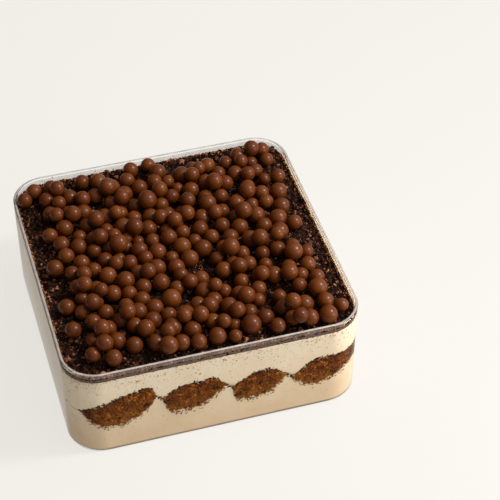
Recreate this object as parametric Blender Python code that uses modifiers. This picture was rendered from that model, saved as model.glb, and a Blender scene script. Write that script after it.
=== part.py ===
"""Tiramisu in its clear square box.

Two layers of mascarpone cream lie over and under four ladyfingers, whose ends show at the
front wall. Dark cocoa crumb covers the cream, and chocolate pearls lie scattered on the crumb.
Metres, +Z up. The origin is the centre of the box's base, and -Y is the front.
"""

import math
import random

import bmesh
import bpy

# The box
SIDE = 0.120
HEIGHT = 0.045
CORNER_RADIUS = 0.014
WALL = 0.0012
FLOOR = 0.0014
FOOT_RADIUS = 0.0025
DRAFT = 0.0003  # how much further in the wall stands at the base than at the rim
CORNER_STEPS = 7
FOOT_STEPS = 3

# The food's levels
GAP = 0.0003  # between neighbouring pieces
CREAM_TOP = 0.0405
CRUMB_THICKNESS = 0.0012
CRUMB_RELIEF = 0.00035
CRUMB_TOP = CREAM_TOP + GAP + CRUMB_THICKNESS
CRUMB_CELLS = 22

# The ladyfingers: centre along X, half width, height of the widest point, rise of the slanting
# middle line over the half width, and how far each bulges above and below that line
FINGERS = (
    {"x": -0.0412, "half": 0.0148, "z": 0.0236, "rise": 0.0022, "above": 0.0062, "below": 0.0078},
    {"x": -0.0104, "half": 0.0122, "z": 0.0233, "rise": 0.0010, "above": 0.0062, "below": 0.0074},
    {"x": 0.0160, "half": 0.0108, "z": 0.0217, "rise": 0.0010, "above": 0.0058, "below": 0.0078},
    {"x": 0.0462, "half": 0.0160, "z": 0.0213, "rise": 0.0012, "above": 0.0066, "below": 0.0072},
)
TIP_TAPER = 2.3  # the power of the bulge's fall towards a pointed tip
TIP_BLUNT = 9.0  # and towards the blunt lower left tip
TIP_CUT = 0.97  # share of the half width at which a ladyfinger's own solid ends
PROFILE_STEP = 0.0016
SEAM_EDGE_Z = 0.0225  # where the two creams meet outside the row of ladyfingers

# The pearls
PEARL_SEED = 18
PEARL_COUNT = 254
PEARL_RADIUS = 0.00325
PEARL_SPREAD = 0.0003
PEARL_SMALLEST = 0.0025
PEARL_LARGEST = 0.0040
DROP_TRIES = 4
BARE_LEFT = 0.0030
BARE_BACK = 0.0045
BARE_FRONT = 0.0015
BARE_RIGHT = 0.0080
BARE_RIGHT_ENDS_Y = (-0.040, 0.024)  # the strip of bare crumb along the right wall narrows past these
BARE_RIGHT_LEAST = 0.0025
BARE_BLEND = 0.004
ROLL_FIRST_STEP = 0.0008
ROLL_LAST_STEP = 0.00004
ROLL_DIRECTIONS = 16
ROLL_REACH = 0.030
HEAP_CELLS = 42
HEAP_ROW_REACH = 0.006
HEAP_MARGIN = 0.0004  # between the heap's solid and the walls' gap

INNER_RIM = SIDE / 2 - WALL - GAP


def principled(name, color, roughness, metallic=0.0):
    material = bpy.data.materials.new(name)
    material.use_nodes = True
    shader = material.node_tree.nodes["Principled BSDF"]
    shader.inputs["Base Color"].default_value = (*color, 1.0)
    shader.inputs["Roughness"].default_value = roughness
    shader.inputs["Metallic"].default_value = metallic
    return material


def clear_plastic():
    material = principled("clear_plastic", (0.93, 0.94, 0.94), 0.08)
    material.node_tree.nodes["Principled BSDF"].inputs["Alpha"].default_value = 0.3
    return material


def clear_scene():
    for item in list(bpy.data.objects):
        bpy.data.objects.remove(item)


def new_collection(name, hidden=False):
    collection = bpy.data.collections.new(name)
    collection.hide_render = hidden
    bpy.context.scene.collection.children.link(collection)
    return collection


def add_object(name, mesh, collection, material=None):
    item = bpy.data.objects.new(name, mesh)
    collection.objects.link(item)
    if material:
        mesh.materials.append(material)
    return item


def mesh_of(bm, name):
    bmesh.ops.recalc_face_normals(bm, faces=bm.faces)
    mesh = bpy.data.meshes.new(name)
    bm.to_mesh(mesh)
    bm.free()
    return mesh


def inset_at(z):
    """How much further in the wall stands at height z than at the rim."""
    return DRAFT * (1 - z / HEIGHT)


def edges_where(bm, test):
    return [edge for edge in bm.edges if test(*(vert.co for vert in edge.verts))]


def rounded_block(name, low, high, half_side, corner, foot=0.0):
    """A block with the box's plan: round corners and the wall's draft. foot rounds its base."""
    bm = bmesh.new()
    bmesh.ops.create_cube(bm, size=1.0)
    for vert in bm.verts:
        z = low if vert.co.z < 0 else high
        half = half_side - inset_at(z)
        vert.co = (math.copysign(half, vert.co.x), math.copysign(half, vert.co.y), z)
    upright = edges_where(bm, lambda a, b: abs(a.z - b.z) > (high - low) / 2)
    bmesh.ops.bevel(bm, geom=upright, offset=corner, segments=CORNER_STEPS, profile=0.5, affect="EDGES")
    if foot:
        base = edges_where(bm, lambda a, b: max(a.z, b.z) < low + GAP)
        bmesh.ops.bevel(bm, geom=base, offset=foot, segments=FOOT_STEPS, profile=0.5, affect="EDGES")
    return mesh_of(bm, name)


def make_box(collection):
    """The box is one thin moulded wall: the block's outside with no lid, thickened inwards."""
    mesh = rounded_block("clear_box", 0.0, HEIGHT, SIDE / 2, CORNER_RADIUS, FOOT_RADIUS)
    bm = bmesh.new()
    bm.from_mesh(mesh)
    lid = [face for face in bm.faces if face.calc_center_median().z > HEIGHT - GAP]
    bmesh.ops.delete(bm, geom=lid, context="FACES")
    bm.to_mesh(mesh)
    bm.free()
    box = add_object("clear_box", mesh, collection, clear_plastic())
    shell = box.modifiers.new("wall", "SOLIDIFY")
    shell.thickness = WALL
    shell.offset = -1.0
    shell.use_even_offset = True
    mesh.shade_smooth()
    mesh.set_sharp_from_angle(angle=math.radians(40))


def finger_edge(finger, x, bulge):
    """Height of a ladyfinger's upper or lower outline at x, or None beside the ladyfinger."""
    across = (x - finger["x"]) / finger["half"]
    if abs(across) >= 1:
        return None
    power = TIP_BLUNT if bulge < 0 and across < 0 else TIP_TAPER
    return finger["z"] + finger["rise"] * across + bulge * (1 - abs(across) ** power)


def seam_height(x):
    """Height of the line where the two creams meet beside and between the ladyfingers."""
    knots = [(-SIDE / 2, SEAM_EDGE_Z)]
    for finger in FINGERS:
        for side in (-1, 1):
            knots.append((finger["x"] + side * finger["half"], finger["z"] + side * finger["rise"]))
    knots.append((SIDE / 2 + FINGERS[-1]["half"], SEAM_EDGE_Z))
    for (x0, z0), (x1, z1) in zip(knots, knots[1:]):
        if x0 <= x <= x1:
            return z0 + (z1 - z0) * (x - x0) / (x1 - x0)
    return SEAM_EDGE_Z


def layer_edge(x, key, sign):
    """The creams' facing surfaces: over the ladyfingers for above, under them for below."""
    for finger in FINGERS:
        edge = finger_edge(finger, x, sign * finger[key])
        if edge is not None:
            return edge
    return seam_height(x)


def prism(name, outline, collection):
    """A cutter: an outline in X and Z, given as points, drawn out past the box's front and back."""
    curve = bpy.data.curves.new(name, "CURVE")
    curve.dimensions = "2D"
    curve.fill_mode = "BOTH"
    curve.extrude = SIDE
    spline = curve.splines.new("POLY")
    spline.points.add(len(outline) - 1)
    for point, (x, z) in zip(spline.points, outline):
        point.co = (x, z, 0.0, 1.0)
    spline.use_cyclic_u = True
    guide = bpy.data.objects.new(name + "_outline", curve)
    collection.objects.link(guide)
    guide.rotation_euler.x = math.pi / 2
    bpy.context.view_layer.update()
    graph = bpy.context.evaluated_depsgraph_get()
    mesh = bpy.data.meshes.new_from_object(guide.evaluated_get(graph))
    bm = bmesh.new()
    bm.from_mesh(mesh)
    bmesh.ops.remove_doubles(bm, verts=bm.verts, dist=1e-6)
    bmesh.ops.recalc_face_normals(bm, faces=bm.faces)
    bm.to_mesh(mesh)
    bm.free()
    cutter = add_object(name, mesh, collection)
    cutter.matrix_world = guide.matrix_world
    cutter.display_type = "WIRE"
    cutter.hide_render = True
    bpy.data.objects.remove(guide)
    return cutter


def keep_inside(item, cutter):
    cut = item.modifiers.new("layer", "BOOLEAN")
    cut.operation = "INTERSECT"
    cut.solver = "EXACT"
    cut.object = cutter


def profile_stations():
    """X places along the front: even steps, with each ladyfinger's tips and ends among them."""
    stations = {-SIDE, SIDE}
    count = round(SIDE / PROFILE_STEP)
    stations.update(-SIDE / 2 + SIDE * i / count for i in range(count + 1))
    for finger in FINGERS:
        for share in (-1, -TIP_CUT, TIP_CUT, 1):
            stations.add(finger["x"] + share * finger["half"])
    return sorted(stations)


def food_block(name, collection, material):
    """The space that the food fills in the box, up to the cream's top."""
    inner_corner = CORNER_RADIUS - WALL - GAP
    foot = FOOT_RADIUS - WALL
    mesh = rounded_block(name, FLOOR + GAP, CREAM_TOP, INNER_RIM, inner_corner, foot)
    return add_object(name, mesh, collection, material)


def make_creams(parts, cutters):
    cream = principled("mascarpone_cream", (0.80, 0.66, 0.47), 0.45)
    stations = profile_stations()
    lower = [(x, layer_edge(x, "below", -1) - GAP / 2) for x in stations]
    upper = [(x, layer_edge(x, "above", 1) + GAP / 2) for x in stations]
    below = [(SIDE, -HEIGHT), (-SIDE, -HEIGHT)]
    above = [(SIDE, 2 * HEIGHT), (-SIDE, 2 * HEIGHT)]
    for name, outline in (("cream_lower", lower + below), ("cream_upper", upper + above)):
        keep_inside(food_block(name, parts, cream), prism(name + "_cutter", outline, cutters))


def finger_outline(finger):
    """A ladyfinger's closed outline, the gap inside the creams' surfaces, with blunt ends."""
    margin = TIP_CUT * finger["half"] + GAP / 10
    stations = [x for x in profile_stations() if abs(x - finger["x"]) < margin]
    top = [(x, finger_edge(finger, x, finger["above"]) - GAP / 2) for x in stations]
    bottom = [(x, finger_edge(finger, x, -finger["below"]) + GAP / 2) for x in stations]
    return top + bottom[::-1]


def make_ladyfingers(parts, cutters):
    sponge = principled("soaked_sponge", (0.20, 0.07, 0.015), 0.9)
    for number, finger in enumerate(FINGERS, start=1):
        name = f"ladyfinger_{number}"
        keep_inside(food_block(name, parts, sponge), prism(name + "_cutter", finger_outline(finger), cutters))


def square_to_plan(u, v, half, corner):
    """Maps the square from -1 to 1 onto the rounded square, keeping its grid lines even."""
    x, y = u * half, v * half
    straight = half - corner
    over_x, over_y = abs(x) - straight, abs(y) - straight
    if over_x <= 0 or over_y <= 0:
        return x, y
    reach = math.hypot(over_x, over_y)
    shrink = max(over_x, over_y) / reach
    return math.copysign(straight + over_x * shrink, x), math.copysign(straight + over_y * shrink, y)


def bumpy_slab(name, cells, place, base, height):
    """A slab on a square grid: place sets each point's X and Y, and height its top. Its base is flat."""
    bm = bmesh.new()
    bmesh.ops.create_grid(bm, x_segments=cells, y_segments=cells, size=1.0)
    for vert in bm.verts:
        x, y = place(vert.co.x, vert.co.y)
        vert.co = (x, y, height(x, y))
    rim = [edge for edge in bm.edges if edge.is_boundary]
    skirt = bmesh.ops.extrude_edge_only(bm, edges=rim)["geom"]
    for vert in (item for item in skirt if isinstance(item, bmesh.types.BMVert)):
        vert.co.z = base
    bmesh.ops.contextual_create(bm, geom=[edge for edge in bm.edges if edge.is_boundary])
    return mesh_of(bm, name)


def crumb_height(x, y):
    """The crumb's uneven top: crossing waves of unlike lengths, never above CRUMB_TOP."""
    wave = math.sin(310 * x + 140 * y) + math.sin(260 * y - 190 * x + 1.3) + math.sin(530 * x + 2.1) * 0.6
    return CRUMB_TOP - CRUMB_RELIEF * (0.5 - wave / 5.2)


def make_crumb(collection):
    crumb = principled("cocoa_crumb", (0.020, 0.009, 0.005), 0.95)
    half = INNER_RIM - inset_at(CREAM_TOP)
    corner = CORNER_RADIUS - WALL - GAP
    mesh = bumpy_slab(
        "cocoa_crumb",
        CRUMB_CELLS,
        lambda u, v: square_to_plan(u, v, half, corner),
        CREAM_TOP + GAP,
        crumb_height,
    )
    add_object("cocoa_crumb", mesh, collection, crumb)


def keep_in_walls(x, y, radius):
    """Moves a pearl's centre back inside the walls and their round corners."""
    half = INNER_RIM - radius
    x = min(max(x, -half), half)
    y = min(max(y, -half), half)
    straight = SIDE / 2 - CORNER_RADIUS
    over_x, over_y = max(abs(x) - straight, 0.0), max(abs(y) - straight, 0.0)
    reach, room = math.hypot(over_x, over_y), half - straight
    if reach > room:
        x = math.copysign(straight + over_x * room / reach, x) if over_x else x
        y = math.copysign(straight + over_y * room / reach, y) if over_y else y
    return x, y


def bare_right(y):
    """Width of the strip of bare crumb along the right wall at y."""
    front_end, back_end = BARE_RIGHT_ENDS_Y
    front_share = 1 / (1 + math.exp((front_end - y) / BARE_BLEND))
    back_share = 1 / (1 + math.exp((y - back_end) / BARE_BLEND))
    return BARE_RIGHT_LEAST + (BARE_RIGHT - BARE_RIGHT_LEAST) * front_share * back_share


def drop_point(draw, radius):
    """Where one pearl falls: anywhere but the bare strips along the walls."""
    y = draw.uniform(-INNER_RIM + BARE_FRONT + radius, INNER_RIM - BARE_BACK - radius)
    x = draw.uniform(-INNER_RIM + BARE_LEFT + radius, INNER_RIM - bare_right(y) - radius)
    return keep_in_walls(x, y, radius + BARE_FRONT)


def rest_height(x, y, radius, pearls):
    """Height of a pearl's centre when it touches the crumb or the highest pearl under it."""
    height = CRUMB_TOP + GAP + radius
    for other_x, other_y, other_z, other_radius in pearls:
        rise = (radius + other_radius) ** 2 - (x - other_x) ** 2 - (y - other_y) ** 2
        if rise > 0:
            height = max(height, other_z + math.sqrt(rise))
    return height


def roll_down(x, y, radius, pearls):
    """Rolls a pearl downhill over the others, in ever shorter steps, until it is held."""
    near = [p for p in pearls if math.hypot(p[0] - x, p[1] - y) < ROLL_REACH]
    z = rest_height(x, y, radius, near)
    step = ROLL_FIRST_STEP
    while step > ROLL_LAST_STEP:
        for turn in range(ROLL_DIRECTIONS):
            angle = math.tau * turn / ROLL_DIRECTIONS
            new_x, new_y = keep_in_walls(x + step * math.cos(angle), y + step * math.sin(angle), radius)
            new_z = rest_height(new_x, new_y, radius, near)
            if new_z < z - 1e-7:
                x, y, z = new_x, new_y, new_z
                break
        else:
            step /= 2
    return x, y, z, radius


def settled_pearls():
    """Each pearl's centre and radius. Each one falls on the lowest of a few places and rolls down."""
    draw = random.Random(PEARL_SEED)
    pearls = []
    for _ in range(PEARL_COUNT):
        radius = min(max(draw.gauss(PEARL_RADIUS, PEARL_SPREAD), PEARL_SMALLEST), PEARL_LARGEST)
        places = [drop_point(draw, radius) for _ in range(DROP_TRIES)]
        x, y = min(places, key=lambda place: rest_height(*place, radius, pearls))
        pearls.append(roll_down(x, y, radius, pearls))
    return pearls


def heap_outline(pearls, u, v):
    """Maps the square onto the pearls' ground plan: each row reaches as far as the pearls near it."""
    front = min(y - radius for x, y, z, radius in pearls)
    back = max(y + radius for x, y, z, radius in pearls)
    y = front + (back - front) * (v + 1) / 2
    row = [pearl for pearl in pearls if abs(pearl[1] - y) < HEAP_ROW_REACH]
    left = min(x - radius for x, y, z, radius in row)
    right = max(x + radius for x, y, z, radius in row)
    return keep_in_walls(left + (right - left) * (u + 1) / 2, y, HEAP_MARGIN)


def heap_height(pearls, x, y):
    """Top of the pearls at x, y. Between pearls the surface stays low on their sides."""
    top = CRUMB_TOP + GAP + PEARL_RADIUS / 2
    for centre_x, centre_y, centre_z, radius in pearls:
        rise = radius**2 - (x - centre_x) ** 2 - (y - centre_y) ** 2
        if rise > 0:
            top = max(top, centre_z + math.sqrt(rise))
    return top


def make_heap(collection):
    milk_chocolate = principled("milk_chocolate", (0.18, 0.055, 0.018), 0.35)
    pearls = settled_pearls()
    mesh = bumpy_slab(
        "pearl_heap",
        HEAP_CELLS,
        lambda u, v: heap_outline(pearls, u, v),
        CRUMB_TOP + GAP,
        lambda x, y: heap_height(pearls, x, y),
    )
    add_object("pearl_heap", mesh, collection, milk_chocolate)


def main():
    clear_scene()
    parts = new_collection("tiramisu_box")
    cutters = new_collection("cutters", hidden=True)
    make_box(parts)
    make_creams(parts, cutters)
    make_ladyfingers(parts, cutters)
    make_crumb(parts)
    make_heap(parts)


main()
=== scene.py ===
"""Looks of the tiramisu in its clear square box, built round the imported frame.

Metres, +Z up, front at -Y. Places on the box's inside are given by s, the way along the wall from
the middle of the front towards +X and on round the box, and by the height z.
"""

import math
import random

import bmesh
import bpy
import numpy as np
from mathutils import Euler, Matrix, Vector, noise


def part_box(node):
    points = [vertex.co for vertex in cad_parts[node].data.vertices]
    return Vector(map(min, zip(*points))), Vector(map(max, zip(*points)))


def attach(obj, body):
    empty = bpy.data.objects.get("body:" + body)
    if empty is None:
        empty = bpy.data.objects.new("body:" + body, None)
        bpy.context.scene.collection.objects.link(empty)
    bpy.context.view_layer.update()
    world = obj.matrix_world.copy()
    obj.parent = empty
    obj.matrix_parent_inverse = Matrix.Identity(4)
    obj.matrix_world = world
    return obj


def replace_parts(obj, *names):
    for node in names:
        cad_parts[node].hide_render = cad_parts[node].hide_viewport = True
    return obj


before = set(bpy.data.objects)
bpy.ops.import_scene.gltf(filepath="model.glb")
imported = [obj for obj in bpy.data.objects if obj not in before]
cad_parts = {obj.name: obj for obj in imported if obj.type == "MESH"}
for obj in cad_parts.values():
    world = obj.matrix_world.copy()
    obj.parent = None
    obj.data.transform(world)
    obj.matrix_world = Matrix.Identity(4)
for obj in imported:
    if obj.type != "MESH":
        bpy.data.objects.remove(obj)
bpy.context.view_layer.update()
MM = 0.001

# The box, as the frame has it
BOX_LOW, BOX_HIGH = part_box("clear_box")
SIDE = round(BOX_HIGH.x - BOX_LOW.x, 4)
HEIGHT = round(BOX_HIGH.z, 4)
CORNER_RADIUS = 0.014
WALL = 0.0012
FLOOR = 0.0014
FOOT_RADIUS = 0.0025
DRAFT = 0.0003
GAP = 0.0003
STRAIGHT = SIDE / 2 - CORNER_RADIUS  # half of a side's straight stretch
SIDE_RUN = 2 * STRAIGHT + CORNER_RADIUS * math.pi / 2  # the way along one side and two half corners
CREAM_TOP = 0.0405
CRUMB_TOP = CREAM_TOP + GAP + 0.0012

# How deep each thing reaches into the wall, so that no air shows between them
CREAM_REACH = 0.00018
SKIN_REACH = 0.00026
BIT_REACH = 0.00034
BIT_THICK = 0.12 * MM
SPONGE_BIT_REACH = SKIN_REACH + 0.2 * MM
SPONGE_BIT_THICK = 0.22 * MM
CREAM_OVERLAP = 1.0 * MM  # how far the creams reach over the ladyfingers' insides
CREAM_SINK = 0.9 * MM  # how far the lower cream reaches into the floor, for the dark line at the base
CREAM_FOOT = 0.8 * MM
CORE_INSET = 0.5 * MM

# The ladyfingers as they show at the front, in millimetres: the ends along s, the heights of the
# ends' middles, and the heights of the upper and lower outlines at even shares of the way between
FINGERS = (
    {"ends": (-56.0, -26.2), "tips": (22.8, 26.0),
     "top": (24.2, 26.3, 28.3, 30.2, 31.2, 32.4), "bottom": (20.5, 15.8, 14.6, 15.2, 18.2, 23.0)},
    {"ends": (-22.8, 2.2), "tips": (23.6, 24.4),
     "top": (24.4, 27.8, 29.2, 28.9, 29.4, 25.6), "bottom": (17.8, 14.5, 14.7, 15.8, 18.4, 22.6)},
    {"ends": (5.2, 27.0), "tips": (21.6, 22.4),
     "top": (22.2, 24.6, 27.2, 27.5, 26.9, 23.2), "bottom": (14.8, 13.8, 13.6, 14.3, 16.2, 21.2)},
    {"ends": (29.8, 75.0), "tips": (20.4, 23.1),
     "top": (20.8, 27.2, 27.6, 26.8, 26.4, 26.4), "bottom": (18.0, 13.5, 16.4, 19.4, 19.8, 19.8)},
)
END_POWER = 18.0  # how bluntly the outlines close at the ladyfingers' ends
SEAM_EDGE = 22.5  # height of the creams' seam at the left wall, in millimetres

# The pearls, as the frame's heap has them
PEARL_SEED = 18
PEARL_COUNT = 254
PEARL_RADIUS = 0.00325
PEARL_SPREAD = 0.0003
PEARL_SMALLEST = 0.0025
PEARL_LARGEST = 0.0040
DROP_TRIES = 4
BARE_LEFT = 0.0030
BARE_BACK = 0.0045
BARE_FRONT = 0.0015
BARE_RIGHT = 0.0080
BARE_RIGHT_ENDS_Y = (-0.040, 0.024)
BARE_RIGHT_LEAST = 0.0025
BARE_BLEND = 0.004
ROLL_FIRST_STEP = 0.0008
ROLL_LAST_STEP = 0.00004
ROLL_DIRECTIONS = 16
ROLL_REACH = 0.030
INNER_RIM = SIDE / 2 - WALL - GAP

# Cells and steps of the meshes
CREAM_CELLS = 100
CRUMB_CELLS = 270
SKIN_CELL = 0.3 * MM
SKIN_MARGIN = 1.5 * MM  # how far a ladyfinger's skin may stray past its outline
CORE_STEPS = 40
RING_STEPS = 320

# Films on the plastic
FILM = 0.04 * MM
# painted reflection: how much the greyish film over the free wall covers
SHEEN_ALPHA = 0.24
# painted reflection on the rim's top: its cover, overhang and lift
RIM_SHEEN_ALPHA = 0.5
RIM_SHEEN_MARGIN = 0.15 * MM
RIM_SHEEN_LIFT = 0.02 * MM

# How many bits of each kind there are
SPECKS_UNDER_CRUMB = 1700
CLOTS_UNDER_CRUMB = 150
SPECKS_ANYWHERE = 300
CLOTS_ANYWHERE = 40
AMBER_CRUMBS = 1500
SPONGE_BITS = 3600
COCOA_FLECKS = 1500
TIP_FLECKS = 260
LOOSE_GRAINS = 7200
FRINGE_GRAINS = 3200
DUST_GRAINS = 900

# The light: a sky that is bright round the key lamp's direction and dim away from it
KEY_DIRECTION = (0.60, -0.19, 0.775)
KEY_DISTANCE = 0.75
KEY_SIZE = 0.12
KEY_POWER = 4.6
SIDE_DIRECTION = (0.80, -0.60, 0.25)
SIDE_DISTANCE = 0.30
SIDE_SIZE = 0.16
SIDE_POWER = 0.26
SKY_DIM = 0.06
SKY_BRIGHT = 1.05
SKY_EDGE = 0.1  # cosine of the angle from the key's direction at which the sky is dimmest
BACKDROP = 0.90  # the sky as the camera sees it
TABLE_GLOW = 0.74  # the lit table as it is seen, itself or through the box
TABLE_SHINE = 0.54  # its light on the food
TABLE_COLOR = (0.14, 0.136, 0.129, 1.0)
TABLE_LIGHT_COLOR = (1.0, 0.973, 0.92, 1.0)
TABLE_HALF = 3.0
TABLE_TOP = -0.15 * MM

# The camera, which looks from the front left, and the point that it looks at
CAMERA_AZIMUTH = math.radians(-16.73)
CAMERA_ELEVATION = math.radians(43.17)
CAMERA_ROLL = math.radians(0.20)
CAMERA_DISTANCE = 0.7539
CAMERA_LENS = 121.4
CAMERA_AIM = (0.0409, 0.0368, 0.0)


# ---- meshes


def in_scene(name, data):
    """A new object in the scene."""
    item = bpy.data.objects.new(name, data)
    bpy.context.scene.collection.objects.link(item)
    return item


def new_object(name, mesh, material, smooth=True):
    """A piece of the dessert or its box, which rides on the one body."""
    item = in_scene(name, mesh)
    mesh.materials.append(material)
    if smooth:
        mesh.shade_smooth()
    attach(item, "root")
    return item


def mesh_from(name, points, faces):
    """A mesh of these points and faces, checked."""
    mesh = bpy.data.meshes.new(name)
    mesh.from_pydata([tuple(point) for point in points], [], [tuple(face) for face in faces])
    mesh.validate()
    return mesh


def add_attribute(mesh, name, values):
    """Gives each point of the mesh a number that its material reads."""
    attribute = mesh.attributes.new(name, "FLOAT", "POINT")
    attribute.data.foreach_set("value", np.asarray(values, np.float32))


def inset_at(z):
    """How much further in the wall stands at height z than at the rim."""
    return DRAFT * (1 - z / HEIGHT)


def foot_inset(z, radius):
    """How far a round foot of this radius draws in at height z over its base."""
    return radius - math.sqrt(max(radius**2 - max(radius - z, 0.0) ** 2, 0.0))


def wall_at(s, z, reach=0.0):
    """The point at s and z, reach outwards from the wall's inner face, and the normal there."""
    side = math.floor(s / SIDE_RUN + 0.5)
    along = s - side * SIDE_RUN
    half = SIDE / 2 - WALL - inset_at(z) + reach
    corner = CORNER_RADIUS - WALL + reach
    straight = half - corner
    bend = max(abs(along) - STRAIGHT, 0.0) / CORNER_RADIUS
    x = min(abs(along), STRAIGHT) * straight / STRAIGHT + corner * math.sin(bend)
    x = math.copysign(x, along)
    y = -straight - corner * math.cos(bend)
    normal = (math.copysign(math.sin(bend), along), -math.cos(bend))
    turn = side * math.pi / 2
    cos, sin = math.cos(turn), math.sin(turn)
    point = Vector((x * cos - y * sin, x * sin + y * cos, z))
    return point, Vector((normal[0] * cos - normal[1] * sin, normal[0] * sin + normal[1] * cos, 0.0))


def square_to_plan(u, v, half, corner):
    """Maps the square from -1 to 1 onto the rounded square, keeping its grid lines even."""
    x, y = u * half, v * half
    straight = half - corner
    over_x, over_y = abs(x) - straight, abs(y) - straight
    if over_x <= 0 or over_y <= 0:
        return x, y
    reach = math.hypot(over_x, over_y)
    shrink = max(over_x, over_y) / reach
    return math.copysign(straight + over_x * shrink, x), math.copysign(straight + over_y * shrink, y)


def layer_mesh(name, cells, low, high, rows, reach, foot=0.0, flat_below=False):
    """A closed layer that fills the box's plan between the heights low(x, y) and high(x, y).

    reach is how deep it goes into the wall. foot is the radius of its lowest edge. With flat_below
    its underside is one face.
    """

    def place(u, v, share):
        nominal = SIDE / 2 - WALL
        x, y = square_to_plan(u, v, nominal, CORNER_RADIUS - WALL)
        bottom, top = low(x, y), high(x, y)
        z = bottom + (top - bottom) * share
        half = nominal - inset_at(z) + reach
        if foot:
            half -= foot_inset(z - bottom, foot)
        x, y = square_to_plan(u, v, half, CORNER_RADIUS - WALL + reach)
        return x, y, z

    steps = [2 * i / cells - 1 for i in range(cells + 1)]
    rim = [(i, 0) for i in range(cells)] + [(cells, i) for i in range(cells)]
    rim += [(cells - i, cells) for i in range(cells)] + [(0, cells - i) for i in range(cells)]
    points, faces = [], []
    if flat_below:
        points = [place(steps[i], steps[j], 0.0) for i, j in rim]
        below = list(range(len(rim)))
        faces.append(below[::-1])
    else:
        points = [place(u, v, 0.0) for u in steps for v in steps]
        below = [i * (cells + 1) + j for i, j in rim]
    top_start = len(points)
    points += [place(u, v, 1.0) for u in steps for v in steps]
    top_rim = [top_start + i * (cells + 1) + j for i, j in rim]
    for i in range(cells):
        for j in range(cells):
            first = i * (cells + 1) + j
            face = (first, first + cells + 1, first + cells + 2, first + 1)
            faces.append(tuple(top_start + index for index in face))
            if not flat_below:
                faces.append(face[::-1])
    for row in range(1, rows + 1):
        above = top_rim
        if row < rows:
            above = list(range(len(points), len(points) + len(rim)))
            points += [place(steps[i], steps[j], row / rows) for i, j in rim]
        for index in range(len(rim)):
            after = (index + 1) % len(rim)
            faces.append((below[index], below[after], above[after], above[index]))
        below = above
    return mesh_from(name, points, faces)


def mesh_arrays(bm):
    """The points and the triangles of a bmesh, which is freed."""
    points = np.array([vert.co[:] for vert in bm.verts])
    faces = np.array([[vert.index for vert in face.verts] for face in bm.faces])
    bm.free()
    return points, faces


def joined_mesh(name, points, faces, tones):
    """One mesh of many small closed forms, each with its own tone."""
    mesh = bpy.data.meshes.new(name)
    mesh.from_pydata(np.concatenate(points).tolist(), [], np.concatenate(faces).tolist())
    add_attribute(mesh, "tone", np.concatenate(tones))
    return mesh


def add_grains(name, grains, jitter, seed, stops, size=0.5 * MM, smooth=True):
    """A piece of many uneven grains. Each grain is its centre, its three half axes and its tone."""
    draw = np.random.default_rng(seed)
    bm = bmesh.new()
    bmesh.ops.create_icosphere(bm, subdivisions=1, radius=1.0)
    ball, ball_faces = mesh_arrays(bm)
    points, faces, tones = [], [], []
    for number, (centre, axes, tone) in enumerate(grains):
        uneven = ball * (1 + draw.uniform(-jitter, jitter, (len(ball), 1)))
        points.append(uneven @ np.array(axes) + np.array(centre))
        faces.append(ball_faces + number * len(ball))
        tones.append(np.full(len(ball), tone))
    mesh = joined_mesh(name, points, faces, tones)
    new_object(name, mesh, crumb_finish(name, stops, size, by_tone=True), smooth)


def wall_ring(name, profile):
    """A closed ring all round the wall. profile gives heights and how far inside the wall each is."""
    points, faces = [], []
    for z, inside in profile:
        points += [wall_at(4 * SIDE_RUN * i / RING_STEPS, z, -inside)[0] for i in range(RING_STEPS)]
    for i in range(RING_STEPS):
        after = (i + 1) % RING_STEPS
        for row in range(len(profile)):
            below, above = row * RING_STEPS, (row + 1) % len(profile) * RING_STEPS
            faces.append((below + i, below + after, above + after, above + i))
    return mesh_from(name, points, faces)


def turned_axes(draw, sizes):
    """Three half axes of these lengths, turned any way."""
    turn = Euler([draw.uniform(0, math.tau) for _ in range(3)]).to_matrix()
    return [turn[i] * sizes[i] for i in range(3)]


def wall_axes(s, z, wide, high, thick, tilt):
    """Half axes of a flat bit that lies on the wall at s and z."""
    normal = wall_at(s, z)[1]
    along = Vector((-normal.y, normal.x, 0.0))
    up = Vector((0.0, 0.0, 1.0))
    cos, sin = math.cos(tilt), math.sin(tilt)
    return (along * cos + up * sin) * wide, (up * cos - along * sin) * high, normal * thick


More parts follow.
